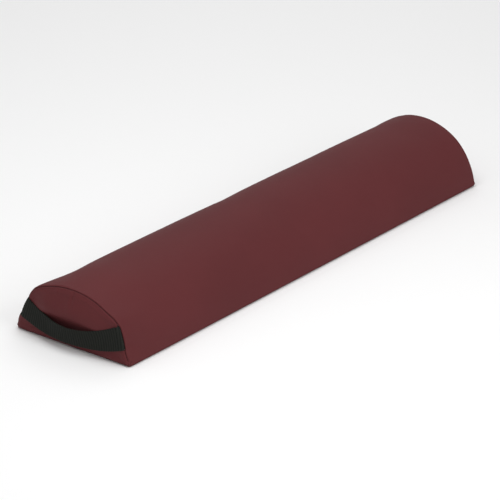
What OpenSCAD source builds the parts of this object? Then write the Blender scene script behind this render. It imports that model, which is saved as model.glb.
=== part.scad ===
// Half-round massage bolster: a foam core in a sewn, zipped cover with one
// webbing carry handle. Millimetres, +X along the bolster, -X end carries the
// handle, +Z up, origin at the middle of the flat base.

/* [Bolster] */
// Length over both end panels
length = 660; // [560:10:760]
// Width across the flat base
width = 165; // [150:1:180]
// Height of the arch above the base
height = 74; // [66:1:80]

/* [Cover] */
// Thickness of the coated upholstery fabric
cover_t = 1.4; // [1.2:0.1:1.6]
// Thickness of the sewing thread
thread_t = 0.7; // [0.5:0.1:0.8]

/* [Handle] */
// Thickness of the woven webbing
strap_t = 1.6; // [1.2:0.1:2]
// Height of the webbing's lower edge where it is sewn in
strap_low = 20; // [16:1:24]
// Height of the webbing's upper edge where it is sewn in
strap_high = 43; // [40:1:46]
// Outward bow of the lower edge at mid span
bow_low = 7; // [6:0.5:10]
// Outward bow of the upper edge at mid span
bow_high = 11; // [9:0.5:14]
// Sag of the lower edge at mid span
sag_low = 11; // [8:0.5:13]
// Sag of the upper edge at mid span
sag_high = 12.5; // [8:0.5:14]
// Length of webbing turned in behind the seam
tail_depth = 14; // [10:1:18]

/* [Zip] */
// Length of the zip's slot in the base
zip_length = 576; // [440:4:576]
// Distance of the zip from the middle of the base, towards the rear
zip_offset = 58; // [50:1:58]
// Width of the slot between the two turned edges
slot_w = 9; // [9:0.5:10]
// Width of one tape
tape_w = 14; // [13:0.5:14.5]
// Thickness of one tape
tape_t = 0.6; // [0.5:0.1:0.8]
// Diameter of the coil that makes the teeth
coil_d = 2.2; // [1.8:0.1:2.4]

/* [Hidden] */
$fn = 180;

VINYL = [0.42, 0.20, 0.22];
FOAM = [0.93, 0.88, 0.70];
WEBBING = [0.08, 0.09, 0.08];
THREAD = [0.30, 0.12, 0.14];
TAPE = [0.20, 0.09, 0.10];
COIL = [0.14, 0.07, 0.08];
METAL = [0.62, 0.62, 0.64];

// The arch is one circular arc over the base's chord
half_l = length / 2;
arch_r = (pow(width / 2, 2) + pow(height, 2)) / (2 * height);
arch_z = height - arch_r;
inner_r = arch_r - cover_t;
inner_l = half_l - cover_t;
// How far a cut runs past the face it goes through
over = 1;
// Half width of an arc of radius r about the arch's centre, at a height
function arc_y(r, z) = sqrt(r * r - pow(z - arch_z, 2));

// Handle: where the inside face of the cover meets the webbing
span_low = arc_y(inner_r, strap_low);
span_high = arc_y(inner_r, strap_high);
// Part of the half span that swings; the rest is sewn down
swing_share = 0.9;
tail_share = 0.91;
// Distance from the seam at which the webbing starts to dip
lay_in = 2.5;
// Air between the swinging webbing and the end panel
strap_gap = 0.4;
strap_stations = 24;
// Rows of tack stitches, their spacing and thickness, and their distance from
// the webbing's edges
tack_rows = 3;
tack_pitch = 3.5;
tack_t = 0.5;
tack_in = 2;

// Zip, from the base upwards: turned edge, tape, coil
hem_w = 10;
hem_top = 2 * cover_t;
tape_top = hem_top + tape_t;
tape_gap = 1.6;
// Run of the tape past each end of the slot, and of the slot past the coil
tape_past = 2;
slot_past = 4.5;
tape_l = zip_length + 2 * tape_past;
coil_l = zip_length - 2 * slot_past;
// Distance of the coil from the tape's edge
coil_set = 0.2;
coil_y = tape_gap / 2 + coil_set + coil_d / 2;
coil_top = tape_top + coil_d;
stop_l = 3;
zip_thread_y = 9.5;
zip_thread_h = 0.4;

// Slider, which rests at the closed end, 0.3 clear of what it runs past
run_gap = 0.3;
slider_l = 12;
slider_x = zip_length / 2 - slider_l;
slider_w = 8;
plate_t = 0.6;
low_plate_z = hem_top - run_gap - plate_t;
high_plate_z = coil_top + run_gap;
post_w = 0.9;
post_l = 3;
flange_t = 0.5;

// Groove in the foam: its distance from each end, and the air beside and
// above the zip
groove_end = 30;
tape_air = 2;
tape_lift = 1;
slider_air = 1;
slider_lift = 0.5;

// Pull tab, which turns on two pins in the slider's ears
pull_z = 1.05;
pull_back = 2;
pull_x = slider_x - pull_back;
ear_t = 0.8;
ear_gap = 0.2;
ear_r = 0.75;
ear_hole_r = 0.42;
pin_r = 0.36;
barrel_r = 0.55;
barrel_w = 4.8;
pull_t = 0.8;
pull_w = 6.4;
pull_l = 21;
// Length of the tab's neck, between its barrel and its grip
neck_l = 1.5;

// ---- shared shapes -------------------------------------------------------

// Extrudes a shape drawn in the YZ plane from x0 to x1
module along_x(x0, x1) {
    translate([x0, 0, 0])
        rotate([90, 0, 90])
            linear_extrude(height = x1 - x0)
                children();
}

// Disc of the arch, taken in by an inset
module arch_disc(inset) {
    translate([0, arch_z])
        circle(r = arch_r - inset);
}

// Half-round section above a floor height
module arch_section(inset, floor_z) {
    intersection() {
        arch_disc(inset);
        translate([-width, floor_z])
            square([2 * width, height]);
    }
}

// Band between two insets of the arch, from one height to another, on one side
module arch_band(inset_out, inset_in, z0, z1, side) {
    intersection() {
        difference() {
            arch_disc(inset_out);
            arch_disc(inset_in);
        }
        translate([side > 0 ? 0 : -width, z0])
            square([width, z1 - z0]);
    }
}

// Box given by its two corners
module block(low, high) {
    translate(low)
        cube(high - low);
}

// Box on one side of the zip's centre line
module zip_block(x0, x1, y0, y1, z0, z1, side) {
    translate([0, zip_offset, 0])
        mirror([0, side > 0 ? 0 : 1, 0])
            block([x0, y0, z0], [x1, y1, z1]);
}

// ---- core ----------------------------------------------------------------

// Seam threads, tails and tacks press into the foam, and the zip has a groove
module foam_core() {
    color(FOAM)
        difference() {
            along_x(-inner_l, inner_l)
                arch_section(cover_t, cover_t);
            for (end = [-1, 1])
                end_seam_thread(end);
            for (side = [-1, 1]) {
                base_seam_thread(side);
                strap_tail_inner(side);
                strap_tack(side);
                zip_block(-half_l + groove_end, half_l - groove_end,
                    0, tape_w + tape_air, 0, tape_top + tape_lift, side);
                zip_block(-half_l + groove_end, half_l - groove_end,
                    0, slider_w / 2 + slider_air,
                    0, high_plate_z + plate_t + slider_lift, side);
            }
        }
}

// ---- cover panels --------------------------------------------------------

module top_panel() {
    color(VINYL)
        along_x(-inner_l, inner_l)
            difference() {
                arch_section(0, 0);
                arch_disc(cover_t);
            }
}

// One side of the base, with a turned edge along the zip's slot
module base_panel(side) {
    color(VINYL)
        difference() {
            union() {
                intersection() {
                    along_x(-inner_l, inner_l)
                        arch_disc(cover_t);
                    zip_block(-inner_l, inner_l, 0, 2 * width, 0, cover_t, side);
                }
                zip_block(-tape_l / 2, tape_l / 2, slot_w / 2, slot_w / 2 + hem_w,
                    cover_t, hem_top, side);
            }
            zip_block(-zip_length / 2, zip_length / 2, -over, slot_w / 2,
                -over, hem_top + over, side);
        }
}

module end_panel_handle() {
    color(VINYL)
        difference() {
            along_x(-half_l, -inner_l)
                arch_section(0, 0);
            for (side = [-1, 1])
                strap_tail_inner(side);
        }
}

module end_panel_plain() {
    color(VINYL)
        along_x(inner_l, half_l)
            arch_section(0, 0);
}

// ---- seam threads --------------------------------------------------------

// Lockstitch row that joins an end panel to the top and base panels
module end_seam_thread(end) {
    x0 = end > 0 ? inner_l - thread_t : -inner_l;
    color(THREAD)
        difference() {
            along_x(x0, x0 + thread_t)
                difference() {
                    arch_section(cover_t, cover_t);
                    arch_section(cover_t + thread_t, cover_t + thread_t);
                }
            for (side = [-1, 1])
                strap_tail_inner(side);
        }
}

// Lockstitch row that joins the top panel to one edge of the base
module base_seam_thread(side) {
    x1 = inner_l - thread_t;
    color(THREAD)
        along_x(-x1, x1)
            arch_band(cover_t, cover_t + thread_t,
                cover_t, cover_t + thread_t, side);
}

// ---- handle --------------------------------------------------------------

// Webbing edges at u, from -1 at the front seam to 1 at the rear seam
function dip(u) = 1 - pow(abs(u), 3);
function swell(u) = pow(cos(90 * u), 2);
function edge_point(u, span, z, bow, sag, outward) = [
    -half_l - strap_gap - bow * swell(u) - outward,
    span * u,
    z - sag * dip(u),
];

// Four corners of the webbing's section at u
function strap_ring(u) = [
    edge_point(u, span_low, strap_low, bow_low, sag_low, 0),
    edge_point(u, span_low, strap_low, bow_low, sag_low, strap_t),
    edge_point(u, span_high, strap_high, bow_high, sag_high, strap_t),
    edge_point(u, span_high, strap_high, bow_high, sag_high, 0),
];

// The part of the webbing that swings, bowed and sagging between its ends
module handle_strap() {
    rings = [
        for (i = [0 : strap_stations])
            strap_ring(swing_share * (2 * i / strap_stations - 1))
    ];
    points = [for (ring = rings) each ring];
    last = 4 * strap_stations;
    sides = [
        for (i = [0 : strap_stations - 1], k = [0 : 3])
            [4 * i + k, 4 * i + (k + 1) % 4,
                4 * i + 4 + (k + 1) % 4, 4 * i + 4 + k]
    ];
    ends = [[3, 2, 1, 0], [last, last + 1, last + 2, last + 3]];
    color(WEBBING)
        polyhedron(points = points, faces = concat(sides, ends));
}

// Webbing behind the seam, against the inside of the top panel
module strap_tail_inner(side) {
    along_x(-half_l, -half_l + tail_depth)
        arch_band(cover_t, cover_t + strap_t, strap_low, strap_high, side);
}

// Webbing laid over the end panel, from the seam to where it swings free
module strap_tail_outer(side) {
    dip_end = dip(tail_share);
    along_x(-half_l - strap_t, -half_l)
        intersection() {
            arch_disc(cover_t);
            polygon([
                [side * width, strap_low],
                [side * width, strap_high],
                [side * (span_high - lay_in), strap_high],
                [side * span_high * tail_share, strap_high - sag_high * dip_end],
                [side * span_low * tail_share, strap_low - sag_low * dip_end],
                [side * (span_low - lay_in), strap_low],
            ]);
        }
}

module strap_tail(side) {
    color(WEBBING) {
        strap_tail_inner(side);
        strap_tail_outer(side);
    }
}

// Rows of stitches that hold the tail behind the seam
module strap_tack(side) {
    inset = cover_t + strap_t;
    color(THREAD)
        for (i = [1 : tack_rows]) {
            x = -inner_l + i * tack_pitch;
            along_x(x, x + tack_t)
                arch_band(inset, inset + tack_t,
                    strap_low + tack_in, strap_high - tack_in, side);
        }
}

// ---- zip -----------------------------------------------------------------

module zip_tape(side) {
    color(TAPE)
        zip_block(-tape_l / 2, tape_l / 2, tape_gap / 2, tape_gap / 2 + tape_w,
            hem_top, tape_top, side);
}

module zip_teeth(side) {
    color(COIL)
        translate([-coil_l / 2, zip_offset + side * coil_y, tape_top + coil_d / 2])
            rotate([0, 90, 0])
                cylinder(d = coil_d, h = coil_l);
}

// Lockstitch row through the turned edge and the tape
module zip_thread(side) {
    color(THREAD)
        zip_block(-zip_length / 2, zip_length / 2,
            zip_thread_y, zip_thread_y + thread_t,
            tape_top, tape_top + zip_thread_h, side);
}

// One crimped stop on each tape, at the closed end
module zip_top_stops() {
    color(METAL)
        for (side = [-1, 1])
            zip_block(coil_l / 2, coil_l / 2 + stop_l,
                tape_gap / 2, coil_y + coil_d / 2, tape_top, coil_top, side);
}

// One stop across both tapes, at the open end
module zip_bottom_stop() {
    reach = coil_y + coil_d / 2;
    color(METAL)
        translate([0, zip_offset, 0])
            block([-coil_l / 2 - stop_l, -reach, tape_top],
                [-coil_l / 2, reach, coil_top]);
}

// Two plates joined by a post, with flanges round the coil and ears below
module zip_slider() {
    color(METAL)
        translate([slider_x, zip_offset, 0])
            difference() {
                union() {
                    for (z = [low_plate_z, high_plate_z])
                        block([-slider_l / 2, -slider_w / 2, z],
                            [slider_l / 2, slider_w / 2, z + plate_t]);
                    block([slider_l / 2 - post_l, -post_w / 2, low_plate_z],
                        [slider_l / 2, post_w / 2, high_plate_z + plate_t]);
                    for (side = [-1, 1]) {
                        slider_flange(side);
                        slider_ear(side);
                    }
                }
                translate([-pull_back, 0, pull_z])
                    rotate([90, 0, 0])
                        cylinder(r = ear_hole_r, h = slider_w, center = true);
            }
}

// Flange that hangs from the inner plate beside the coil
module slider_flange(side) {
    mirror([0, side > 0 ? 0 : 1, 0])
        block([-slider_l / 2, slider_w / 2 - flange_t, tape_top + run_gap],
            [slider_l / 2, slider_w / 2, high_plate_z]);
}

// Ear under the outer plate that holds one end of the pull tab's pin
module slider_ear(side) {
    mirror([0, side > 0 ? 0 : 1, 0])
        translate([-pull_back, barrel_w / 2 + ear_gap, 0]) {
            translate([0, 0, pull_z])
                rotate([-90, 0, 0])
                    cylinder(r = ear_r, h = ear_t);
            block([-ear_r, 0, pull_z], [ear_r, ear_t, low_plate_z]);
        }
}

module zip_pull_tab() {
    pin_w = barrel_w + 2 * (ear_t + ear_gap);
    grip_x = -ear_r - neck_l;
    color(METAL)
        translate([pull_x, zip_offset, pull_z]) {
            rotate([90, 0, 0])
                cylinder(r = barrel_r, h = barrel_w, center = true);
            rotate([90, 0, 0])
                cylinder(r = pin_r, h = pin_w, center = true);
            block([grip_x, -barrel_w / 2, -pull_t / 2], [0, barrel_w / 2, pull_t / 2]);
            translate([0, 0, -pull_t / 2])
                linear_extrude(height = pull_t)
                    pull_outline(grip_x);
        }
}

// Grip of the pull tab, round at its free end, with an eye
module pull_outline(grip_x) {
    difference() {
        union() {
            translate([-pull_l + pull_w / 2, -pull_w / 2])
                square([pull_l - pull_w / 2 + grip_x, pull_w]);
            translate([-pull_l + pull_w / 2, 0])
                circle(d = pull_w);
        }
        translate([-pull_l + pull_w / 2, 0])
            circle(d = pull_w / 3);
    }
}

// ---- nodes ---------------------------------------------------------------

foam_core();
top_panel();
base_panel(-1);  // base_panel_front
base_panel(1);  // base_panel_rear
end_panel_handle();
end_panel_plain();
end_seam_thread(-1);  // end_seam_thread_handle
end_seam_thread(1);  // end_seam_thread_plain
base_seam_thread(-1);  // base_seam_thread_front
base_seam_thread(1);  // base_seam_thread_rear
handle_strap();
strap_tail(-1);  // strap_tail_front
strap_tail(1);  // strap_tail_rear
strap_tack(-1);  // strap_tack_front
strap_tack(1);  // strap_tack_rear
zip_tape(-1);  // zip_tape_front
zip_tape(1);  // zip_tape_rear
zip_teeth(-1);  // zip_teeth_front
zip_teeth(1);  // zip_teeth_rear
zip_thread(-1);  // zip_thread_front
zip_thread(1);  // zip_thread_rear
zip_top_stops();
zip_bottom_stop();
zip_slider();
zip_pull_tab();
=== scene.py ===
import math

import bmesh
import bpy
import numpy as np
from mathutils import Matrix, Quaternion, Vector


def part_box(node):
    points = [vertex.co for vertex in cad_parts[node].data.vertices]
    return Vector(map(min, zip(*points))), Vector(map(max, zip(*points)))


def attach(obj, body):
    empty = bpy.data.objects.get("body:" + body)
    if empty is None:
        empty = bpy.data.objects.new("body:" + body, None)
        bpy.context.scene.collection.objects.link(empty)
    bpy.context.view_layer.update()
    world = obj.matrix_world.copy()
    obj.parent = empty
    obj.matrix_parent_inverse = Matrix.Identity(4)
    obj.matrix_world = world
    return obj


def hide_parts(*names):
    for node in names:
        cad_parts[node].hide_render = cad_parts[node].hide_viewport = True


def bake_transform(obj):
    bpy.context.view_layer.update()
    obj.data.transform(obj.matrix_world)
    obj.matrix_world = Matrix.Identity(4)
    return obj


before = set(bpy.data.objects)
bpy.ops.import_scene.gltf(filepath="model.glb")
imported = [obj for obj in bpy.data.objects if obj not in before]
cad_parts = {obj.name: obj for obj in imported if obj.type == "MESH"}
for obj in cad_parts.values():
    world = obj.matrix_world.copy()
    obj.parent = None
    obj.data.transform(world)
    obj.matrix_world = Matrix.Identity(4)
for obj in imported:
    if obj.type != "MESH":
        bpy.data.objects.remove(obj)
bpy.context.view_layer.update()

# ---- Foam core -----------------------------------------------------------
# One block of open-cell polyurethane foam, cut half-round on a wire cutter.
# Its edges are eased, and it is pressed a little by the webbing sewn over it.

MM = 0.001
handle_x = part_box("end_panel_handle")[0].x
plain_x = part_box("end_panel_plain")[1].x
half_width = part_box("top_panel")[1].y
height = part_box("top_panel")[1].z
arch_r = (half_width ** 2 + height ** 2) / (2 * height)
arch_z = height - arch_r


def smooth(value, low, high):
    """0 below low, 1 above high, and an S-shaped step between them"""
    t = np.clip((value - low) / (high - low), 0, 1)
    return t * t * (3 - 2 * t)


def hump(value, middle, width):
    """Bell shape, 1 at the middle"""
    return np.exp(-(((value - middle) / width) ** 2))


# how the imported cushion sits: millimetres outwards, at what lift round the arch, within how many degrees
front_shoulder, front_waist = (4.2, 41, 9), (2.6, 18, 8)
rear_shoulder = (3.0, 50, 12)
plain_shoulder = (0.9, 48, 16)
crown_drop = 3.2
corner_kick = 4.2
seam_draw = 0.4
seam_flare = 0.7 * MM


def bulge(lift, size, middle, width):
    """Push outwards, strongest at one lift round the arch"""
    return size * hump(lift, middle, width)


def settled(points):
    """Takes points of the true half-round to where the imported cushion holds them"""
    points = np.array(points, float)
    x, y, z = points[..., 0], points[..., 1], points[..., 2]
    r = np.maximum(np.hypot(y, z - arch_z), 1e-6)
    lift = 90 - np.degrees(np.abs(np.arctan2(y, z - arch_z)))
    # the handle end is packed square-shouldered, with a flattened crown
    front = bulge(lift, *front_shoulder) - bulge(lift, *front_waist)
    rear = bulge(lift, *rear_shoulder)
    swell = np.where(y < 0, front, rear) - crown_drop * smooth(lift, 45, 90)
    near = 1 - smooth(x, handle_x + 0.004, handle_x + 0.072)
    # its rear base corner kicks out, and the plain end is a little full at the shoulders
    kick = corner_kick * (1 - smooth(lift, 11, 25)) * (1 - smooth(x, handle_x + 0.003, handle_x + 0.045))
    full = bulge(lift, *plain_shoulder) * smooth(x, plain_x - 0.05, plain_x - 0.004)
    # both end seams draw the crown down a little
    from_end = np.minimum(x - handle_x, plain_x - x)
    share = np.sqrt(np.maximum(np.sin(np.radians(lift)), 0))
    drawn = seam_draw * (1 - smooth(from_end, 0, 0.018)) * share
    push = (swell * near + np.where(y > 0, kick, 0) + full - drawn) * MM * (r / arch_r) ** 2
    y_out = y + push * y / r
    z_out = z + push * (z - arch_z) / r * smooth(z, 0, 0.006)
    # the long seams stand out a little from the base
    y_out = y_out + np.sign(y) * seam_flare * np.exp(-z / 0.004) * smooth(np.abs(y), 0.06, 0.08)
    x_out = x.copy()
    # soft corners of the base
    corners = (
        (handle_x, half_width, 2.4, 7.0), (handle_x, -half_width, 0.3, 4.0),
        (plain_x, half_width, 0.8, 4.0), (plain_x, -half_width, 0.4, 4.0),
    )
    for corner_x, corner_y, depth, reach in corners:
        near = np.exp(-((x - corner_x) ** 2 + (y - corner_y) ** 2) / (reach * MM) ** 2)
        pull = depth * MM * near * (1 - smooth(z, 0.004, 0.03)) / math.sqrt(2)
        x_out = x_out - np.sign(corner_x) * pull
        y_out = y_out - np.sign(corner_y) * pull
    return np.stack([x_out, y_out, z_out], -1)


def half_round(inset, around, across):
    """Outline taken in evenly: over the arch from front to rear, then back along the base"""
    r = arch_r - inset
    end = math.acos((inset - arch_z) / r)
    turns = np.linspace(-end, end, around)
    arch = np.stack([r * np.sin(turns), arch_z + r * np.cos(turns)], 1)
    base_y = np.linspace(arch[-1, 0], arch[0, 0], across + 1)[1:-1]
    base = np.stack([base_y, np.full(len(base_y), inset)], 1)
    return np.concatenate([arch, base])


def at_x(x, outline):
    """Outline in the YZ plane put at x"""
    return np.concatenate([np.full((len(outline), 1), x), outline], 1)


def new_object(name, verts, faces):
    """Smooth-shaded object at the origin"""
    mesh = bpy.data.meshes.new(name)
    mesh.from_pydata([tuple(v) for v in verts], [], faces)
    mesh.update()
    mesh.shade_smooth()
    obj = bpy.data.objects.new(name, mesh)
    bpy.context.scene.collection.objects.link(obj)
    return obj


def grid_faces(rows, columns, closed=False, flip=False):
    """Quads of a grid of points; closed joins the last column to the first"""
    faces = []
    for i in range(rows - 1):
        for j in range(columns if closed else columns - 1):
            k = (j + 1) % columns
            quad = [i * columns + j, (i + 1) * columns + j, (i + 1) * columns + k, i * columns + k]
            faces.append(quad[::-1] if flip else quad)
    return faces


def lofted(name, rings, flip=False):
    """Closed solid through rings of equal count, with a face over each end"""
    rings = np.array(rings)
    rows, columns = rings.shape[:2]
    faces = grid_faces(rows, columns, closed=True, flip=flip)
    first, last = list(range(columns)), [(rows - 1) * columns + j for j in range(columns)]
    faces += [first[::-1], last] if flip else [first, last[::-1]]
    return new_object(name, rings.reshape(-1, 3), faces)


def applied(obj):
    """The object with its modifiers worked into a plain mesh"""
    depsgraph = bpy.context.evaluated_depsgraph_get()
    mesh = bpy.data.meshes.new_from_object(obj.evaluated_get(depsgraph))
    obj.modifiers.clear()
    obj.data = mesh
    return obj


def nodes_of(name):
    """A new material, its node tree and its surface shader"""
    material = bpy.data.materials.new(name)
    material.use_nodes = True
    return material, material.node_tree, material.node_tree.nodes["Principled BSDF"]


def add_node(tree, kind, links=(), **values):
    """Adds a node, sets its sockets and settings by name, and links sockets into it"""
    node = tree.nodes.new(kind)
    for key, value in values.items():
        if hasattr(node, key):
            setattr(node, key, value)
        else:
            node.inputs[key.replace("_", " ")].default_value = value
    for source, target in links:
        tree.links.new(source, node.inputs[target])
    return node


def two_tone(tree, source, low, high, start=0.0, end=1.0):
    """Colour that runs from low to high as the source rises from start to end"""
    ramp = add_node(tree, "ShaderNodeValToRGB", [(source, "Fac")])
    for element, colour, position in zip(ramp.color_ramp.elements, (low, high), (start, end)):
        element.color = (*colour, 1)
        element.position = position
    return ramp.outputs["Color"]


def bumped(tree, shader, height, strength, distance, links=()):
    """Raises the surface a little where the height is high"""
    bump = add_node(tree, "ShaderNodeBump", [(height, "Height"), *links],
                    Strength=strength, Distance=distance)
    tree.links.new(bump.outputs["Normal"], shader.inputs["Normal"])


def foam_material():
    """Cream open-cell foam with pores of about a millimetre, with painted shade in the pores"""
    material, tree, shader = nodes_of("cream_open_cell_foam")
    place = add_node(tree, "ShaderNodeTexCoord").outputs["Object"]
    cells = add_node(tree, "ShaderNodeTexVoronoi", [(place, "Vector")], Scale=900.0)
    blotch = add_node(tree, "ShaderNodeTexNoise", [(place, "Vector")], Scale=30.0, Detail=3.0)
    # painted shade: the colour darkens towards the bottom of each pore, where the bump sinks
    colour = two_tone(tree, cells.outputs["Distance"], (0.42, 0.33, 0.16), (0.82, 0.72, 0.45), end=0.6)
    aged = add_node(tree, "ShaderNodeMixRGB", [(blotch.outputs["Fac"], "Fac"), (colour, "Color1")],
                    Color2=(0.78, 0.62, 0.32, 1))
    tree.links.new(aged.outputs["Color"], shader.inputs["Base Color"])
    bumped(tree, shader, cells.outputs["Distance"], 0.7, 0.0005)
    shader.inputs["Roughness"].default_value = 0.95
    shader.inputs["Sheen Weight"].default_value = 0.2
    return material


foam_gap = 2.4 * MM
foam_edge = 10 * MM
zip_y = (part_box("zip_teeth_front")[0].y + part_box("zip_teeth_rear")[1].y) / 2
groove_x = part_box("zip_tape_front")[1].x + 8 * MM
groove_half = 17 * MM
groove_top = 8.5 * MM
groove_wall = 4 * MM
groove_flat = 6 * MM
groove_step = 1 * MM
base_band = 9 * MM
foam_around, foam_across, foam_keep = 300, 200, 3
soft_points = 13


def foam_outline(inset, grooved):
    """Half-round with its corners eased, and with the zip's groove cut up into its base"""
    outline = half_round(inset, foam_around, foam_across)
    window = np.hanning(2 * soft_points + 1)
    window = window / window.sum()
    wrapped = np.concatenate([outline[-soft_points:], outline, outline[:soft_points]])
    outline = np.stack([np.convolve(wrapped[:, k], window, "valid") for k in (0, 1)], 1)
    groove = np.interp(np.abs(outline[:, 0] - zip_y),
                       [0, groove_flat, groove_half, groove_half + groove_step],
                       [groove_top, groove_top, groove_wall, 0])
    on_base = outline[:, 1] < base_band
    outline[:, 1] = np.where(on_base, np.maximum(outline[:, 1], grooved * groove), outline[:, 1])
    return outline[::foam_keep]


half_foam = (plain_x - handle_x) / 2 - foam_gap
edge_turns = np.linspace(0, np.pi / 2, 7)
plain_run = np.linspace(foam_edge, half_foam - groove_x, 4)[1:-1]
end_run = np.append(foam_edge * (1 - np.cos(edge_turns)), plain_run)
end_insets = np.append(foam_edge * (1 - np.sin(edge_turns)), 0 * plain_run)
groove_run = np.linspace(-groove_x, groove_x, 46)
foam_x = np.concatenate([end_run - half_foam, [-groove_x - groove_step], groove_run,
                         [groove_x + groove_step], half_foam - end_run[::-1]])
foam_insets = foam_gap + np.concatenate([end_insets, np.zeros(len(groove_run) + 2), end_insets[::-1]])
foam_cuts = np.abs(foam_x) <= groove_x
foam = lofted("foam_block", [at_x(x, foam_outline(inset, cut))
                             for x, inset, cut in zip(foam_x, foam_insets, foam_cuts)])

foam_dent = 2.0 * MM
web_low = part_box("strap_tack_front")[0].z - 2 * MM
web_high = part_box("strap_tail_front")[1].z


def webbing_here(z):
    """1 at the heights where the webbing is caught in the end seam, 0 elsewhere"""
    return smooth(z, web_low - 0.0015, web_low + 0.001) * (1 - smooth(z, web_high - 0.001, web_high + 0.0015))


foam_points = np.array([v.co for v in foam.data.vertices])
under_tail = 1 - smooth(foam_points[:, 0], handle_x + 0.014, handle_x + 0.022)
pressed = foam_dent * webbing_here(foam_points[:, 2]) * under_tail
foam_points[:, 1] -= np.sign(foam_points[:, 1]) * pressed * smooth(np.abs(foam_points[:, 1]), 0.04, 0.055)
foam_points = settled(foam_points)
foam.data.vertices.foreach_set("co", foam_points.ravel())
foam.data.shade_smooth()
foam.data.materials.append(foam_material())
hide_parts("foam_core")
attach(foam, "cushion")

# ---- Top panel -----------------------------------------------------------
# One piece of soft coated upholstery fabric, from the front edge of the base
# over the arch to the rear edge. Its margins are turned in and sewn all round.

cover_t = 1.2 * MM
lip_r = 1.3 * MM
lip_run = lip_r * (1 + math.sqrt(2))
seam_run = lip_r * (1 + math.sqrt(0.5))
margin = 4 * MM
strap_opening = 0.8 * MM * math.sqrt(2)


def seam_profile():
    """Run along a panel from the corner, depth under it, and painted shade, from the margin to the panel"""
    # the third value is painted shade for the seam's crease, full in the turned margin and fading over the
    # lip
    turned = [(seam_run + s, seam_run + s, 1) for s in margin * np.array([0.7, 0.45, 0.2])]
    angles = np.radians(np.linspace(-135, 0, 10))
    lip = [(lip_run + lip_r * math.sin(a), lip_r - lip_r * math.cos(a), 1 - smooth(a, -2.1, -1.2))
           for a in angles]
    return np.array(turned + lip)


def spread(start, end, first, growth, most):
    """Distances from start to end, close together at the start"""
    steps = [first]
    while sum(steps) < end - start:
        steps.append(min(steps[-1] * growth, most))
    runs = start + np.cumsum(steps) * (end - start) / sum(steps)
    return runs[:-1]


def from_edge_to_middle(half_length, first, growth, most):
    """Run, depth and painted shade from a sewn edge to the middle of a panel"""
    profile = seam_profile()
    runs = spread(lip_run, half_length, first, growth, most)
    return np.concatenate([profile, np.stack([runs, 0 * runs, 0 * runs], 1)])


def both_edges(half_length, first, growth, most):
    """Place from the first edge, depth, run to the nearer edge and painted shade, across a whole panel"""
    half = from_edge_to_middle(half_length, first, growth, most)
    place = np.concatenate([half[:, 0], [half_length], 2 * half_length - half[::-1, 0]])
    depth, painted_shade = [np.concatenate([half[:, k], [0], half[::-1, k]]) for k in (1, 2)]
    return place, depth, np.minimum(place, 2 * half_length - place), painted_shade


def bumps(seed, length, closest, widest):
    """Smooth random heights between -1 and 1 at uneven spacing along a seam"""
    rng = np.random.default_rng(seed)
    knots = np.cumsum(rng.uniform(closest, widest, int(length / closest) + 8))
    heights = rng.uniform(-1, 1, len(knots))

    def height_at(along):
        k = np.clip(np.searchsorted(knots, along + widest), 1, len(knots) - 1)
        share = smooth(along + widest, knots[k - 1], knots[k])
        return heights[k - 1] * (1 - share) + heights[k] * share

    return height_at


def gathers(along, run, seed, length):
    """Height of the small puckers that the seam draws into a panel"""
    fine = bumps(seed, length, 2.4 * MM, 5.5 * MM)(along)
    wide = bumps(seed + 1, length, 9 * MM, 22 * MM)(along)
    held = smooth(run, seam_run, lip_run + 1 * MM)
    fade = np.maximum(run - lip_run, 0)
    return held * MM * (0.30 * fine * np.exp(-fade / 0.005) + 0.45 * wide * np.exp(-fade / 0.016))


def vinyl_material(name, shade):
    """Burgundy coated fabric: fine pressed grain, dull satin surface, and painted shade that darkens it in
    the seams
    """
    material, tree, shader = nodes_of(name)
    place = add_node(tree, "ShaderNodeTexCoord").outputs["Object"]
    wear = add_node(tree, "ShaderNodeTexNoise", [(place, "Vector")], Scale=9.0, Detail=4.0)
    seam = add_node(tree, "ShaderNodeAttribute", attribute_name="seam").outputs["Fac"]
    colour = two_tone(tree, wear.outputs["Fac"], [c * 0.94 for c in shade], [c * 1.06 for c in shade],
                      start=0.3, end=0.7)
    # painted shade: the colour darkens towards the seams, standing in for the shade in their creases
    dark = add_node(tree, "ShaderNodeMixRGB", [(colour, "Color1"), (seam, "Fac")],
                    Color2=(*[c * 0.45 for c in shade], 1))
    tree.links.new(dark.outputs["Color"], shader.inputs["Base Color"])
    warp = add_node(tree, "ShaderNodeTexNoise", [(place, "Vector")], Scale=420.0, Detail=2.0)
    bent = add_node(tree, "ShaderNodeMixRGB", [(place, "Color1"), (warp.outputs["Color"], "Color2")],
                    blend_type="LINEAR_LIGHT", Fac=0.0006)
    grain = add_node(tree, "ShaderNodeTexVoronoi", [(bent.outputs["Color"], "Vector")],
                     feature="DISTANCE_TO_EDGE", Scale=820.0)
    pebble = add_node(tree, "ShaderNodeMapRange", [(grain.outputs["Distance"], "Value")])
    pebble.inputs["From Max"].default_value = 0.22
    slack = add_node(tree, "ShaderNodeTexNoise", [(place, "Vector")], Scale=38.0, Detail=3.0)
    soft = add_node(tree, "ShaderNodeBump", [(slack.outputs["Fac"], "Height")],
                    Strength=0.25, Distance=0.0012)
    bumped(tree, shader, pebble.outputs["Result"], 0.35, 0.00012, [(soft.outputs["Normal"], "Normal")])
    rough = add_node(tree, "ShaderNodeMapRange", [(wear.outputs["Fac"], "Value")])
    rough.inputs["To Min"].default_value = 0.60
    rough.inputs["To Max"].default_value = 0.70
    tree.links.new(rough.outputs["Result"], shader.inputs["Roughness"])
    shader.inputs["Specular IOR Level"].default_value = 0.12
    return material


VINYL = (0.106, 0.0228, 0.0250)
vinyl = vinyl_material("burgundy_coated_fabric", VINYL)


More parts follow.
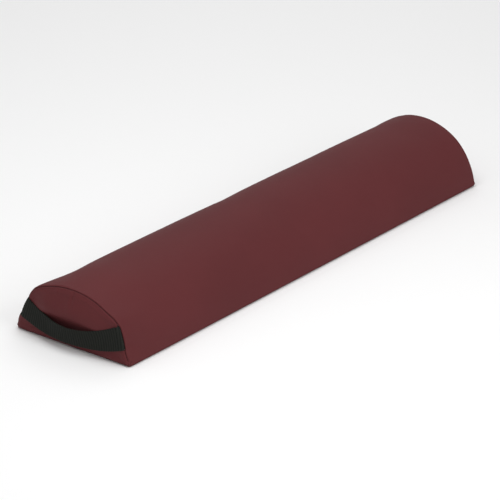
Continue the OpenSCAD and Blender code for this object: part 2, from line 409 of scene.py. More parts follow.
def mark_seam(obj, painted_shade):
    """Stores the painted shade of each point, 1 deep in a seam at the stitching and 0 on the open panel"""
    attribute = obj.data.attributes.new("seam", "FLOAT", "POINT")
    attribute.data.foreach_set("value", np.ravel(painted_shade).astype(np.float32))


def thickened(obj):
    """Gives a panel its thickness, inwards from the face that shows"""
    wall = obj.modifiers.new("Fabric thickness", "SOLIDIFY")
    wall.thickness = cover_t
    wall.offset = -1
    return applied(obj)


arch_turn = math.acos(-arch_z / arch_r)
arch_length = 2 * arch_turn * arch_r
length = plain_x - handle_x

skin_rings = 75
skin_along = np.linspace(0, length, skin_rings)
skin_insets = np.array([8, 16, 24, 31]) * MM
skin_around, skin_across = 33, 19
skin_swell = 1.0 * MM
skin_pressure = 4
skin_frames = 20


def pumped_skin():
    """The whole cover as one coarse skin, held at its seams and on its base, and pumped up

    Gives how far each point moves outwards, ring by ring from one end to the other."""
    outlines = [half_round(inset, skin_around, skin_across) for inset in skin_insets]
    rings = [at_x(handle_x, outline) for outline in outlines[::-1]]
    rings += [at_x(handle_x + x, half_round(0, skin_around, skin_across)) for x in skin_along]
    rings += [at_x(plain_x, outline) for outline in outlines]
    rings = settled(np.array(rings))
    skin = lofted("pumped_skin", rings)
    held = np.zeros(rings.shape[:2], bool)
    first, last = len(skin_insets), len(skin_insets) + len(skin_along) - 1
    held[[first, last]] = True
    held[first:last, skin_around - 1:] = True
    held[first:last, 0] = True
    group = skin.vertex_groups.new(name="held")
    group.add([int(i) for i in np.flatnonzero(held)], 1, "REPLACE")
    cloth = skin.modifiers.new("Fabric under pressure", "CLOTH")
    cloth.settings.quality = 6
    cloth.settings.vertex_group_mass = "held"
    cloth.settings.use_pressure = True
    cloth.settings.uniform_pressure_force = skin_pressure
    cloth.settings.shrink_min = -0.004
    cloth.settings.effector_weights.gravity = 0
    cloth.collision_settings.use_collision = False
    cloth.point_cache.frame_start, cloth.point_cache.frame_end = 1, skin_frames
    for frame_number in range(1, skin_frames + 1):
        bpy.context.scene.frame_set(frame_number)
    mesh = skin.evaluated_get(bpy.context.evaluated_depsgraph_get()).to_mesh()
    moved = np.array([v.co for v in mesh.vertices]).reshape(rings.shape) - rings
    normals = np.array([v.normal for v in skin.data.vertices]).reshape(rings.shape)
    bpy.data.objects.remove(skin)
    bpy.context.scene.frame_set(1)
    return (moved * normals).sum(-1)


def soft_weights(places, knots, width):
    """Weights that carry values at the knots smoothly to other places"""
    weights = hump(np.asarray(places)[:, None], np.asarray(knots)[None, :], width)
    return weights / weights.sum(1, keepdims=True)


skin_moves = pumped_skin()
skin_moves = skin_swell * np.tanh(skin_moves / skin_swell)
place_x, depth_x, run_x, painted_shade_x = both_edges(length / 2, 0.8 * MM, 1.13, 7 * MM)
place_s, depth_s, run_s, painted_shade_s = both_edges(arch_length / 2, 0.9 * MM, 1.12, 1.6 * MM)
along_x, along_s = np.meshgrid(place_x, place_s, indexing="ij")
turn = along_s / arch_r - arch_turn
run_end = np.repeat(run_x[:, None], len(place_s), 1)
at_handle = along_x < length / 2
# the end seams gather the fabric beside them
ripple = np.where(at_handle, gathers(along_s, run_end, 11, arch_length),
                  gathers(along_s, run_end, 23, arch_length))
arch_moves = skin_moves[len(skin_insets):-len(skin_insets), :skin_around]
skin_places = np.linspace(0, arch_length, skin_around)
swelled = (soft_weights(place_x, skin_along, 0.016) @ arch_moves
           @ soft_weights(place_s, skin_places, 0.010).T)
swelled = swelled * smooth(np.minimum(run_end, run_s[None, :]), lip_run, lip_run + 0.014)
drop = depth_x[:, None] + depth_s[None, :] - ripple - swelled
opened = strap_opening * webbing_here(arch_z + arch_r * np.cos(turn))
slide = np.where(at_handle, opened * (1 - smooth(run_end, lip_run, lip_run + 0.006)), 0)
radius = arch_r - drop
top_points = np.stack([
    handle_x + along_x + slide,
    radius * np.sin(turn),
    arch_z + radius * np.cos(turn),
], -1)
rows, columns = along_x.shape
top_panel = new_object("top_cover_panel", settled(top_points).reshape(-1, 3), grid_faces(rows, columns))
# the seam attribute carries the painted seam shade
mark_seam(top_panel, np.abs(painted_shade_x[:, None] - painted_shade_s[None, :]))
thickened(top_panel)
top_panel.data.materials.append(vinyl)
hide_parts("top_panel")
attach(top_panel, "cushion")

# ---- End panels ----------------------------------------------------------
# Two D-shaped pieces of the same fabric, sewn to the top and base panels with
# the margins turned in. The foam behind pushes each one out a little.

end_bulge = 8.0 * MM
end_shoulder = 30 * MM


def blown(side, inset, along):
    """How far the pumped skin stands out at an inset, along the outline of one end"""
    moves = skin_moves[len(skin_insets) - 1::-1] if side < 0 else skin_moves[-len(skin_insets):]
    moves = np.concatenate([0 * moves[:1], moves])
    ring = (soft_weights([inset], np.append(0, skin_insets), 0.006) @ moves)[0]
    outline = np.append(np.linspace(0, arch_length, skin_around),
                        arch_length + np.arange(1, skin_across) * 2 * half_width / skin_across)
    return (soft_weights(along, outline, 0.009) @ ring) * smooth(inset, lip_run, lip_run + 0.010)


def end_panel(name, node, side, seed):
    """One end, facing -X for side -1 and +X for side 1"""
    profile = seam_profile()
    inner = spread(lip_run, height / 2, 0.8 * MM, 1.15, 2.4 * MM)
    insets = np.concatenate([profile[:, 0], inner])
    depths = np.concatenate([profile[:, 1], 0 * inner])
    around, across = 150, 76
    end_x = handle_x if side < 0 else plain_x
    rings = []
    for inset, depth in zip(insets, depths):
        outline = half_round(inset, around, across)
        y, z = outline[:, 0], outline[:, 1]
        along = np.linspace(0, arch_length + 2 * half_width, len(outline))
        ripple = 1.3 * gathers(along, np.full(len(outline), inset), seed, arch_length + 2 * half_width)
        rounded = math.sin(math.pi / 2 * min(max(inset - lip_run, 0) / end_shoulder, 1))
        swell = end_bulge * rounded * smooth(z, 0.010, 0.050) + blown(side, inset, along)
        # the turned margins stand up under the fabric beside the seam
        ripple = ripple + 0.6 * MM * hump(inset, 0.0062, 0.0026)
        if side < 0:
            # flat under the webbing, with a crease above it
            ripple = ripple * (1 - webbing_here(z))
            swell = swell * (1 - 0.8 * smooth(np.abs(y), 0.030, 0.062))
            swell = swell - 1.3 * MM * hump(y, -0.004, 0.0020) * hump(z, 0.066, 0.008)
            slide = strap_opening * webbing_here(z) * (1 - smooth(inset, lip_run, lip_run + 0.006))
            slide[around:] = 0
            r = np.hypot(y, z - arch_z)
            y, z = y - slide * y / r, z - slide * (z - arch_z) / r
        x = end_x + side * (swell + ripple - depth)
        rings.append(np.stack([np.broadcast_to(x, y.shape), y, z], 1))
    rings = np.array(rings)
    rows, columns = rings.shape[:2]
    middle = rings[-1].mean(0)
    verts = np.concatenate([rings.reshape(-1, 3), [middle]])
    faces = grid_faces(rows, columns, closed=True, flip=side < 0)
    last = (rows - 1) * columns
    for j in range(columns):
        triangle = [last + j, last + (j + 1) % columns, rows * columns]
        faces.append(triangle if side < 0 else triangle[::-1])
    panel = new_object(name, settled(verts), faces)
    painted_shade = np.concatenate([profile[:, 2], 0 * inner])
    # the seam attribute carries the painted seam shade
    mark_seam(panel, np.append(np.repeat(painted_shade, columns), 0))
    thickened(panel)
    panel.data.materials.append(vinyl)
    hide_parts(node)
    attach(panel, "cushion")
    return panel


end_panel("handle_end_panel", "end_panel_handle", -1, 31)
end_panel("plain_end_panel", "end_panel_plain", 1, 47)

# ---- Base panels ---------------------------------------------------------
# Two strips of the same fabric that make the flat base, one each side of the
# zip. Along the zip each is folded back on itself to make a hem.

slot_half = 4.5 * MM
slot_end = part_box("zip_thread_front")[1].x
hem_fold = 1.4 * MM
hem_width = 9.5 * MM


def base_panel(name, node, side):
    """Base panel in front of the zip for side -1, behind it for side 1"""
    width = half_width - side * zip_y
    open_width = width - slot_half
    profile = from_edge_to_middle(open_width - hem_fold, 0.9 * MM, 1.2, 4 * MM)
    turned = np.radians(np.linspace(0, 180, 7))
    fold = [(open_width - hem_fold + hem_fold * math.sin(a), hem_fold - hem_fold * math.cos(a))
            for a in turned]
    hem = [(open_width - hem_fold - s, 2 * hem_fold) for s in np.linspace(2 * MM, hem_width, 4)]
    across = np.concatenate([profile[:, :2], fold, hem])
    place, depth, _, painted_shade = both_edges(length / 2, 0.8 * MM, 1.15, 5 * MM)
    along, inward = np.meshgrid(place, across[:, 0], indexing="ij")
    lift = depth[:, None] + across[None, :, 1]
    closed = smooth(np.abs(along - length / 2), slot_end - 0.003, slot_end + 0.004)
    stretch_from = max(open_width - 0.03, lip_run + 0.002)
    stretch = slot_half * closed * smooth(inward, stretch_from, open_width - 0.006)
    y = side * (half_width - inward - stretch)
    points = np.stack([handle_x + along, y, lift], -1)
    rows, columns = along.shape
    panel = new_object(name, settled(points).reshape(-1, 3), grid_faces(rows, columns, flip=side < 0))
    painted_shade_across = np.concatenate([profile[:, 2], np.zeros(len(fold) + len(hem))])
    # the seam attribute carries the painted seam shade
    mark_seam(panel, np.abs(painted_shade[:, None] - painted_shade_across[None, :]))
    thickened(panel)
    panel.data.materials.append(vinyl)
    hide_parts(node)
    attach(panel, "cushion")


base_panel("front_base_panel", "base_panel_front", -1)
base_panel("rear_base_panel", "base_panel_rear", 1)

# ---- Seam thread ---------------------------------------------------------
# Bonded polyester thread, lockstitched at about three millimetres a stitch
# round both end panels and along both long edges of the base.


def named_tree(name, inputs):
    """Geometry node tree with named inputs, and its input and output nodes"""
    tree = bpy.data.node_groups.new(name, "GeometryNodeTree")
    tree.interface.new_socket(name="Geometry", in_out="INPUT", socket_type="NodeSocketGeometry")
    tree.interface.new_socket(name="Geometry", in_out="OUTPUT", socket_type="NodeSocketGeometry")
    for label, kind in inputs:
        tree.interface.new_socket(name=label, in_out="INPUT", socket_type=kind)
    return tree, tree.nodes.new("NodeGroupInput").outputs, tree.nodes.new("NodeGroupOutput").inputs


def with_tree(obj, tree, **values):
    """Runs a node tree on the object and keeps the result as a plain mesh"""
    modifier = obj.modifiers.new(tree.name, "NODES")
    modifier.node_group = tree
    for item in tree.interface.items_tree:
        if item.in_out == "INPUT" and item.name.replace(" ", "_") in values:
            modifier[item.identifier] = values[item.name.replace(" ", "_")]
    return applied(obj)


def painted(tree, geometry, material, result):
    """Ends a tree with real geometry, shaded smooth, in its material"""
    real = add_node(tree, "GeometryNodeRealizeInstances", [(geometry, "Geometry")])
    smoothed = add_node(tree, "GeometryNodeSetShadeSmooth", [(real.outputs["Geometry"], "Geometry")])
    coated = add_node(tree, "GeometryNodeSetMaterial",
                      [(smoothed.outputs["Geometry"], "Geometry"), (material, "Material")])
    tree.links.new(coated.outputs["Geometry"], result["Geometry"])


def stitch_row_tree():
    """Lays round-ended stitches end to end along a line of edges"""
    tree, given, result = named_tree("Row of stitches", [
        ("Pitch", "NodeSocketFloat"), ("Stitch length", "NodeSocketFloat"),
        ("Thread radius", "NodeSocketFloat"), ("Thread", "NodeSocketMaterial"),
    ])
    line = add_node(tree, "GeometryNodeMeshToCurve", [(given["Geometry"], "Mesh")])
    spaced = add_node(tree, "GeometryNodeResampleCurve",
                      [(line.outputs["Curve"], "Curve"), (given["Pitch"], "Length")], mode="LENGTH")
    points = add_node(tree, "GeometryNodeCurveToPoints", [(spaced.outputs["Curve"], "Curve")],
                      mode="EVALUATED")
    half = add_node(tree, "ShaderNodeMath", [(given["Stitch length"], 0)], operation="MULTIPLY")
    half.inputs[1].default_value = 0.5
    size = add_node(tree, "ShaderNodeCombineXYZ", [(given["Thread radius"], "X"),
                    (given["Thread radius"], "Y"), (half.outputs[0], "Z")])
    ball = add_node(tree, "GeometryNodeMeshUVSphere", Segments=6, Rings=5, Radius=1.0)
    stitch = add_node(tree, "GeometryNodeTransform",
                      [(ball.outputs["Mesh"], "Geometry"), (size.outputs[0], "Scale")])
    turned = add_node(tree, "FunctionNodeAlignRotationToVector",
                      [(points.outputs["Tangent"], "Vector")], axis="Z")
    row = add_node(tree, "GeometryNodeInstanceOnPoints",
                   [(points.outputs["Points"], "Points"), (stitch.outputs["Geometry"], "Instance"),
                    (turned.outputs["Rotation"], "Rotation")])
    painted(tree, row.outputs["Instances"], given["Thread"], result)
    return tree


def thread_material():
    """Burgundy thread with the twist of its plies, with painted shade in the grooves between them"""
    material, tree, shader = nodes_of("burgundy_thread")
    place = add_node(tree, "ShaderNodeTexCoord").outputs["Object"]
    twist = add_node(tree, "ShaderNodeTexWave", [(place, "Vector")], bands_direction="DIAGONAL",
                     Scale=900.0, Distortion=1.0)
    # painted shade: darker in the grooves of the twist, where the bump sinks
    colour = two_tone(tree, twist.outputs["Fac"], (0.050, 0.011, 0.014), (0.130, 0.034, 0.040))
    tree.links.new(colour, shader.inputs["Base Color"])
    bumped(tree, shader, twist.outputs["Fac"], 0.5, 0.0001)
    shader.inputs["Roughness"].default_value = 0.6
    shader.inputs["Sheen Weight"].default_value = 0.2
    return material


stitches = stitch_row_tree()
thread = thread_material()
thread_r = 0.28 * MM
stitch_pitch = 3.1 * MM
stitch_length = 2.7 * MM


def stitch_row(name, lines, closed=False):
    """Stitches along one or more lines of points"""
    verts, edges = [], []
    for line in lines:
        first = len(verts)
        verts += [tuple(p) for p in line]
        edges += [(first + i, first + i + 1) for i in range(len(line) - 1)]
        if closed:
            edges.append((len(verts) - 1, first))
    mesh = bpy.data.meshes.new(name)
    mesh.from_pydata(verts, edges, [])
    obj = bpy.data.objects.new(name, mesh)
    bpy.context.scene.collection.objects.link(obj)
    return with_tree(obj, stitches, Pitch=stitch_pitch, Stitch_length=stitch_length,
                     Thread_radius=thread_r, Thread=thread)


def sewn(obj, *nodes):
    """Thread that stays with the cushion"""
    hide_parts(*nodes)
    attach(obj, "cushion")


seam_line = seam_run - 0.15 * MM
for end, end_x in (("handle", handle_x + seam_line), ("plain", plain_x - seam_line)):
    ring = settled(at_x(end_x, half_round(seam_line, 240, 160)))
    sewn(stitch_row(end + "_end_seam_stitches", [ring], closed=True), "end_seam_thread_" + end)
for side, name in ((-1, "front"), (1, "rear")):
    run_of_x = np.linspace(handle_x + seam_run, plain_x - seam_run, 300)
    line = np.stack([run_of_x, 0 * run_of_x + side * (half_width - seam_line),
                     0 * run_of_x + seam_line], 1)
    sewn(stitch_row(name + "_base_seam_stitches", [settled(line)]), "base_seam_thread_" + name)

# ---- Webbing handle ------------------------------------------------------
# One length of black polypropylene webbing with straight ribs across it. Both
# ends are caught in the end seam and tacked behind it; the middle hangs free.

web_t = 1.6 * MM
web_gap = handle_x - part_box("handle_strap")[1].x
bow_high = handle_x - web_gap - web_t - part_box("handle_strap")[0].x
bow_low = 7 * MM
sag_high = 12.5 * MM
sag_low = web_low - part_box("handle_strap")[0].z
tail_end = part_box("strap_tail_front")[1].x
sewn_r = arch_r - 1.4 * MM
rib_pitch = 3.2 * MM
rib_height = 0.5 * MM
free_share = 0.935
tail_depth = 3.2 * MM


def webbing_material():
    """Black ribbed webbing: fine lengthwise yarns, dull surface, faint dust, and painted shade in the grooves
    between the ribs
    """
    material, tree, shader = nodes_of("black_webbing")
    along = add_node(tree, "ShaderNodeAttribute", attribute_name="along").outputs["Fac"]
    across = add_node(tree, "ShaderNodeAttribute", attribute_name="across").outputs["Fac"]
    spot = add_node(tree, "ShaderNodeCombineXYZ", [(along, "X"), (across, "Y")])
    yarn = add_node(tree, "ShaderNodeTexWave", [(spot.outputs[0], "Vector")], bands_direction="Y",
                    Scale=200.0, Distortion=0.6)
    twill = add_node(tree, "ShaderNodeTexWave", [(spot.outputs[0], "Vector")],
                     bands_direction="DIAGONAL", Scale=330.0, Distortion=0.4)
    fluff = add_node(tree, "ShaderNodeTexNoise", [(spot.outputs[0], "Vector")], Scale=700.0, Detail=3.0)
    high = add_node(tree, "ShaderNodeAttribute", attribute_name="rib").outputs["Fac"]
    # painted shade: near black in the grooves between the ribs, the webbing's own colour on their crests
    colour = two_tone(tree, high, (0.0010, 0.0013, 0.0010), (0.0170, 0.0185, 0.0150))
    dust = add_node(tree, "ShaderNodeMapRange", [(fluff.outputs["Fac"], "Value")])
    dust.inputs["To Max"].default_value = 0.3
    speck = add_node(tree, "ShaderNodeMixRGB", [(colour, "Color1"), (dust.outputs["Result"], "Fac")],
                     Color2=(0.010, 0.0115, 0.0095, 1))
    tree.links.new(speck.outputs["Color"], shader.inputs["Base Color"])
    weave = add_node(tree, "ShaderNodeMath", [(yarn.outputs["Fac"], 0), (twill.outputs["Fac"], 1)],
                     operation="ADD")
    bumped(tree, shader, weave.outputs[0], 0.6, 0.00018)
    shader.inputs["Roughness"].default_value = 0.75
    shader.inputs["Specular IOR Level"].default_value = 0.14
    return material


def rib_tree():
    """Sinks straight grooves across a band, at an even pitch along it, leaving ribs"""
    tree, given, result = named_tree("Ribs across webbing", [
        ("Rib pitch", "NodeSocketFloat"), ("Rib height", "NodeSocketFloat"),
        ("Webbing", "NodeSocketMaterial"),
    ])
    along = add_node(tree, "GeometryNodeInputNamedAttribute", data_type="FLOAT", Name="along")
    turns = add_node(tree, "ShaderNodeMath", [(along.outputs["Attribute"], 0), (given["Rib pitch"], 1)],
                     operation="DIVIDE")
    angle = add_node(tree, "ShaderNodeMath", [(turns.outputs[0], 0)], operation="MULTIPLY")
    angle.inputs[1].default_value = math.pi
    wave = add_node(tree, "ShaderNodeMath", [(angle.outputs[0], 0)], operation="COSINE")
    whole = add_node(tree, "ShaderNodeMath", [(wave.outputs[0], 0)], operation="ABSOLUTE")
    rib = add_node(tree, "ShaderNodeMath", [(whole.outputs[0], 0)], operation="POWER")
    rib.inputs[1].default_value = 0.6
    below = add_node(tree, "ShaderNodeMath", [(rib.outputs[0], 0)], operation="SUBTRACT")
    below.inputs[1].default_value = 1.0
    depth = add_node(tree, "ShaderNodeMath", [(below.outputs[0], 0), (given["Rib height"], 1)],
                     operation="MULTIPLY")
    normal = add_node(tree, "GeometryNodeInputNormal")
    push = add_node(tree, "ShaderNodeVectorMath", [(normal.outputs[0], 0)], operation="SCALE")
    tree.links.new(depth.outputs[0], push.inputs["Scale"])
    # keeps how high each point stands on its rib, for the webbing's painted groove shade
    keep = add_node(tree, "GeometryNodeStoreNamedAttribute",
                    [(given["Geometry"], "Geometry"), (rib.outputs[0], "Value")],
                    data_type="FLOAT", domain="POINT", Name="rib")
    moved = add_node(tree, "GeometryNodeSetPosition",
                     [(keep.outputs["Geometry"], "Geometry"), (push.outputs["Vector"], "Offset")])
    painted(tree, moved.outputs["Geometry"], given["Webbing"], result)
    return tree


def free_edge(u, span, z, bow, sag):
    """Edge of the free webbing, at its middle thickness; u is 0 at mid span and 1 at the seam"""
    x = handle_x - web_gap - web_t / 2 - bow * np.cos(np.pi / 2 * u) ** 2
    return np.stack([x, span * u, z - sag * (1 - u ** 3)], 1)


def webbing_line(share):
    """Middle of the webbing from mid span to the tail's end, share across its width"""
    lines = []
    for z, bow, sag in ((web_low, bow_low, sag_low), (web_high, bow_high, sag_high)):
        span = math.sqrt(sewn_r ** 2 - (z - arch_z) ** 2)
        lines.append(free_edge(np.linspace(0, free_share, 40), span, z, bow, sag))
    free = lines[0] * (1 - share) + lines[1] * share
    z_seam = web_low * (1 - share) + web_high * share
    # over the end panel's turned edge and down between the two panels
    around = lip_r + web_t / 2
    centre_a, centre_b = lip_r, lip_run + strap_opening
    angles = np.radians(np.linspace(180, 315, 10))
    over = [(centre_a + around * math.cos(a), centre_b + around * math.sin(a)) for a in angles]
    a, b = over[-1]
    under = [(a + 2 * MM, b + 2 * MM), (a + 4 * MM, b + 2.3 * MM), (a + 6 * MM, b + 1 * MM),
             (a + 8 * MM, tail_depth), (tail_end - handle_x, tail_depth)]
    hidden = np.array(over + under)
    z = np.linspace(free[-1, 2] + 0.5 * MM, z_seam, len(over)).tolist() + [z_seam] * len(under)
    z = np.array(z)
    y = np.sqrt((arch_r - hidden[:, 1]) ** 2 - (z - arch_z) ** 2)
    return np.concatenate([free, np.stack([handle_x + hidden[:, 0], y, z], 1)])


def even_line(points, count):
    """Points at even spacing along a smooth line through the given ones"""
    gaps = np.linalg.norm(np.diff(points, axis=0), axis=1)
    along = np.concatenate([[0], np.cumsum(gaps)])
    fine = np.linspace(0, along[-1], 8 * count)
    dense = np.stack([np.interp(fine, along, points[:, k]) for k in range(3)], 1)
    window = np.hanning(41)
    window /= window.sum()
    held = np.concatenate([2 * dense[0] - dense[20:0:-1], dense, 2 * dense[-1] - dense[-2:-22:-1]])
    dense = np.stack([np.convolve(held[:, k], window, "valid") for k in range(3)], 1)
    pick = np.linspace(0, len(dense) - 1, count)
    return np.stack([np.interp(pick, np.arange(len(dense)), dense[:, k]) for k in range(3)], 1)


def webbing_half(name, side, nodes):
    """Half of the webbing, from mid span to its tail; side is -1 for the front half"""
    stations = 300
    edge = web_t / 2
    shares = np.concatenate([[0, 0.004, 0.014, 0.032], np.linspace(0.06, 0.94, 15), [0.968, 0.986, 0.996, 1]])
    middle = np.array([even_line(webbing_line(share), stations) for share in shares])
    middle[:, :, 1] *= side
    middle = settled(middle)
    down = np.gradient(middle, axis=1)
    wide = np.gradient(middle, axis=0)
    out = np.cross(down, wide)
    out /= np.linalg.norm(out, axis=2, keepdims=True)
    width = np.linalg.norm(middle[-1] - middle[0], axis=1).mean()
    from_edge = np.minimum(shares, 1 - shares) * width
    thick = edge * np.sqrt(1 - (1 - np.clip(from_edge / edge, 0, 1)) ** 2)
    face = middle + out * thick[:, None, None]
    back = middle - out * thick[:, None, None]
    ring = np.concatenate([face, back[-2:0:-1]]).transpose(1, 0, 2)
    web = lofted(name, ring, flip=side > 0)
    length_at = np.linalg.norm(np.diff(middle[len(shares) // 2], axis=0), axis=1)
    along = np.repeat(np.concatenate([[0], np.cumsum(length_at)])[:, None], ring.shape[1], 1)
    across = np.tile(np.concatenate([shares, shares[-2:0:-1]]) * width, (stations, 1))
    for label, values in (("along", along), ("across", across)):
        attribute = web.data.attributes.new(label, "FLOAT", "POINT")
        attribute.data.foreach_set("value", values.ravel().astype(np.float32))
    with_tree(web, ribs, Rib_pitch=rib_pitch, Rib_height=rib_height, Webbing=webbing)
    web.data.set_sharp_from_angle(angle=math.radians(60))
    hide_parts(*nodes)
    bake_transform(web)


ribs = rib_tree()
webbing = webbing_material()
webbing_half("webbing_front_half", -1, ["handle_strap", "strap_tail_front"])
webbing_half("webbing_rear_half", 1, ["handle_strap", "strap_tail_rear"])

# ---- Handle tacks --------------------------------------------------------
# Three short rows of stitches behind the seam, which hold each webbing tail.

tack_runs = (6 * MM, 9.5 * MM, 13 * MM)
for side, name in ((-1, "front"), (1, "rear")):
    rows_of_tack = []
    for run in tack_runs:
        z = np.linspace(web_low + 2 * MM, web_high - 2 * MM, 30)
        y = side * (np.sqrt(sewn_r ** 2 - (z - arch_z) ** 2) - 2.6 * MM)
        rows_of_tack.append(settled(np.stack([0 * z + handle_x + run, y, z], 1)))
    sewn(stitch_row("tack_stitches_" + name, rows_of_tack), "strap_tack_" + name)

# ---- Zip -----------------------------------------------------------------
# A nylon coil zip sewn under the hems of the base: woven tapes, coiled teeth,
# crimped stops, and a die-cast slider whose pull lies along the base.


def tape_material():
    """Dark red twill tape, with painted shade in the hollows of its weave"""
    material, tree, shader = nodes_of("dark_red_zip_tape")
    place = add_node(tree, "ShaderNodeTexCoord").outputs["Object"]
    weave = add_node(tree, "ShaderNodeTexWave", [(place, "Vector")], bands_direction="DIAGONAL",
                     Scale=420.0, Distortion=0.3)
    # painted shade: darker in the hollows of the weave, where the bump sinks
    colour = two_tone(tree, weave.outputs["Fac"], (0.018, 0.004, 0.005), (0.050, 0.012, 0.015))
    tree.links.new(colour, shader.inputs["Base Color"])
    bumped(tree, shader, weave.outputs["Fac"], 0.6, 0.00015)
    shader.inputs["Roughness"].default_value = 0.85
    shader.inputs["Sheen Weight"].default_value = 0.3
    return material


def coil_material():
    """Dark red nylon, slightly glossy, lighter in patches where it is rubbed"""
    material, tree, shader = nodes_of("dark_red_nylon_coil")
    place = add_node(tree, "ShaderNodeTexCoord").outputs["Object"]
    rub = add_node(tree, "ShaderNodeTexNoise", [(place, "Vector")], Scale=120.0, Detail=2.0)
    colour = two_tone(tree, rub.outputs["Fac"], (0.016, 0.005, 0.006), (0.045, 0.014, 0.017))
    tree.links.new(colour, shader.inputs["Base Color"])
    shader.inputs["Roughness"].default_value = 0.38
    return material


def metal_material():
    """Nickel-plated zinc with fine tumbling marks"""
    material, tree, shader = nodes_of("nickel_plated_zinc")
    place = add_node(tree, "ShaderNodeTexCoord").outputs["Object"]
    marks = add_node(tree, "ShaderNodeTexNoise", [(place, "Vector")], Scale=900.0, Detail=4.0)
    rough = add_node(tree, "ShaderNodeMapRange", [(marks.outputs["Fac"], "Value")])
    rough.inputs["To Min"].default_value = 0.2
    rough.inputs["To Max"].default_value = 0.42
    tree.links.new(rough.outputs["Result"], shader.inputs["Roughness"])
    colour = two_tone(tree, marks.outputs["Fac"], (0.48, 0.48, 0.50), (0.64, 0.64, 0.66))
    tree.links.new(colour, shader.inputs["Base Color"])
    bumped(tree, shader, marks.outputs["Fac"], 0.15, 0.00005)
    shader.inputs["Metallic"].default_value = 1.0
    return material


def coil_tree():
    """Winds a wire into a long straight coil along X"""
    tree, given, result = named_tree("Zip coil", [
        ("Start", "NodeSocketVector"), ("End", "NodeSocketVector"), ("Turns", "NodeSocketInt"),
        ("Coil radius", "NodeSocketFloat"), ("Wire radius", "NodeSocketFloat"),
        ("Nylon", "NodeSocketMaterial"),
    ])
    per_turn = 8
    count = add_node(tree, "ShaderNodeMath", [(given["Turns"], 0)], operation="MULTIPLY")
    count.inputs[1].default_value = per_turn
    line = add_node(tree, "GeometryNodeCurvePrimitiveLine",
                    [(given["Start"], "Start"), (given["End"], "End")])
    points = add_node(tree, "GeometryNodeResampleCurve",
                      [(line.outputs["Curve"], "Curve"), (count.outputs[0], "Count")], mode="COUNT")
    index = add_node(tree, "GeometryNodeInputIndex")
    angle = add_node(tree, "ShaderNodeMath", [(index.outputs[0], 0)], operation="MULTIPLY")
    angle.inputs[1].default_value = 2 * math.pi / per_turn
    parts = []
    for operation in ("COSINE", "SINE"):
        wave = add_node(tree, "ShaderNodeMath", [(angle.outputs[0], 0)], operation=operation)
        parts.append(add_node(tree, "ShaderNodeMath", [(wave.outputs[0], 0), (given["Coil radius"], 1)],
                              operation="MULTIPLY"))
    offset = add_node(tree, "ShaderNodeCombineXYZ", [(parts[0].outputs[0], "Y"), (parts[1].outputs[0], "Z")])
    wound = add_node(tree, "GeometryNodeSetPosition",
                     [(points.outputs["Curve"], "Geometry"), (offset.outputs[0], "Offset")])
    section = add_node(tree, "GeometryNodeCurvePrimitiveCircle", Resolution=6)
    tree.links.new(given["Wire radius"], section.inputs["Radius"])
    wire = add_node(tree, "GeometryNodeCurveToMesh",
                    [(wound.outputs["Geometry"], "Curve"), (section.outputs["Curve"], "Profile Curve")])
    wire.inputs["Fill Caps"].default_value = True
    painted(tree, wire.outputs["Mesh"], given["Nylon"], result)
    return tree


def eased_copy(name, node, edge):
    """Copy of a CAD node with its triangles merged and its edges rounded"""
    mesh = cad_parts[node].data.copy()
    mesh.materials.clear()
    obj = bpy.data.objects.new(name, mesh)
    bpy.context.scene.collection.objects.link(obj)
    shape = bmesh.new()
    shape.from_mesh(mesh)
    bmesh.ops.remove_doubles(shape, verts=shape.verts, dist=1e-6)
    bmesh.ops.dissolve_limit(shape, angle_limit=math.radians(2), verts=shape.verts, edges=shape.edges)
    shape.to_mesh(mesh)
    shape.free()
    rounded = obj.modifiers.new("Rounded edges", "BEVEL")
    rounded.width = edge
    rounded.segments = 2
    rounded.angle_limit = math.radians(35)
    applied(obj)
    obj.data.shade_smooth()
    obj.data.set_sharp_from_angle(angle=math.radians(40))
    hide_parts(node)
    return obj


coil_winding = coil_tree()
nylon = coil_material()
tape_fabric = tape_material()
metal = metal_material()
wire_r = 0.3 * MM
coil_turns = 380
for side, name in ((-1, "front"), (1, "rear")):
    tape = eased_copy("zip_tape_fabric_" + name, "zip_tape_" + name, 0.15 * MM)
    tape.data.materials.append(tape_fabric)
    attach(tape, "cushion")
    # the coils stay apart, because the slider's post runs between them
    low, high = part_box("zip_teeth_" + name)
    middle = (low + high) / 2
    coil = bpy.data.objects.new("coil_teeth_" + name, bpy.data.meshes.new("coil_teeth_" + name))
    bpy.context.scene.collection.objects.link(coil)
    with_tree(coil, coil_winding, Start=(low.x + wire_r, middle.y, middle.z),
              End=(high.x - wire_r, middle.y, middle.z), Turns=coil_turns,
              Coil_radius=(high.z - low.z) / 2 - wire_r, Wire_radius=wire_r, Nylon=nylon)
    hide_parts("zip_teeth_" + name)
    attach(coil, "cushion")
    low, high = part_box("zip_thread_" + name)
    run_of_x = np.linspace(low.x, high.x, 200)
    line = np.stack([run_of_x, 0 * run_of_x + (low.y + high.y) / 2, 0 * run_of_x + low.z + 0.15 * MM], 1)
    sewn(stitch_row("zip_stitches_" + name, [line]), "zip_thread_" + name)

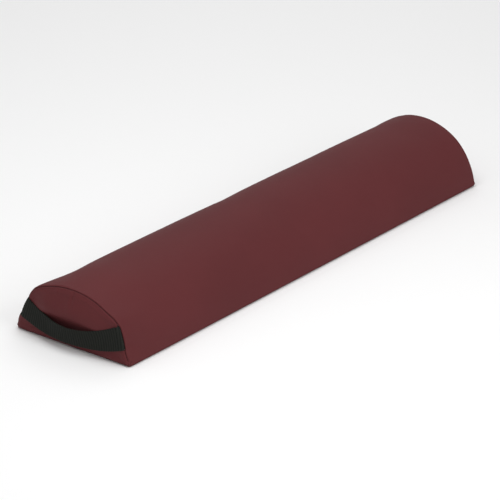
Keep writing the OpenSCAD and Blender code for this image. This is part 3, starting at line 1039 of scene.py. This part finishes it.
for name, node, body, edge in (
    ("crimped_top_stops", "zip_top_stops", "cushion", 0.25 * MM),
    ("crimped_bottom_stop", "zip_bottom_stop", "cushion", 0.25 * MM),
    ("die_cast_slider", "zip_slider", "slider", 0.12 * MM),
    ("pull_tab", "zip_pull_tab", "pull", 0.14 * MM),
):
    fitting = eased_copy(name, node, edge)
    fitting.data.materials.append(metal)
    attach(fitting, body)

# ---- Camera, floor and light ---------------------------------------------
# A long lens from above one corner, on a plain pale floor in soft light.

camera_data = bpy.data.cameras.new("camera")
camera_data.lens = 200.1
camera_data.sensor_width = 36
camera = bpy.data.objects.new("camera", camera_data)
camera.location = (-2.352, -1.856, 1.303)
aim = Vector((-0.0164, 0.0018, 0.0089)) - camera.location
camera_roll = Quaternion((0, 0, 1), math.radians(-0.25))
camera.rotation_euler = (aim.to_track_quat("-Z", "Y") @ camera_roll).to_euler()
bpy.context.scene.collection.objects.link(camera)
bpy.context.scene.camera = camera

bpy.ops.mesh.primitive_circle_add(vertices=96, radius=25, fill_type="NGON", location=(0, 0, -0.0002))
floor = bpy.context.object
floor.name = "floor"
floor_paint, floor_tree, floor_shader = nodes_of("pale_floor")
floor_shader.inputs["Base Color"].default_value = (0.95, 0.95, 0.95, 1)
floor_shader.inputs["Roughness"].default_value = 0.9
floor.data.materials.append(floor_paint)


def soft_light(name, place, size, watts, target=(0, 0, 0.03)):
    """Rectangular softbox aimed at the bolster"""
    data = bpy.data.lights.new(name, "AREA")
    data.shape = "RECTANGLE"
    data.size, data.size_y = size
    data.energy = watts
    light = bpy.data.objects.new(name, data)
    light.location = place
    light.rotation_euler = (Vector(target) - light.location).to_track_quat("-Z", "Y").to_euler()
    bpy.context.scene.collection.objects.link(light)


soft_light("overhead_softbox", (-0.32, -0.1, 1.4), (0.8, 1.4), 8.5, (-0.32, -0.1, 0))
soft_light("front_softbox", (-0.45, -1.5, 0.9), (0.8, 0.8), 7, (-0.3, -0.05, 0.03))
soft_light("back_softbox", (1.2, 0.8, 1.5), (1.2, 1.2), 5.5, (1.2, 0.8, 0))
world = bpy.data.worlds.new("studio")
world.use_nodes = True
world.node_tree.nodes["Background"].inputs["Color"].default_value = (1, 1, 1, 1)
world.node_tree.nodes["Background"].inputs["Strength"].default_value = 0.55
bpy.context.scene.world = world
bpy.context.scene.view_settings.view_transform = "Standard"
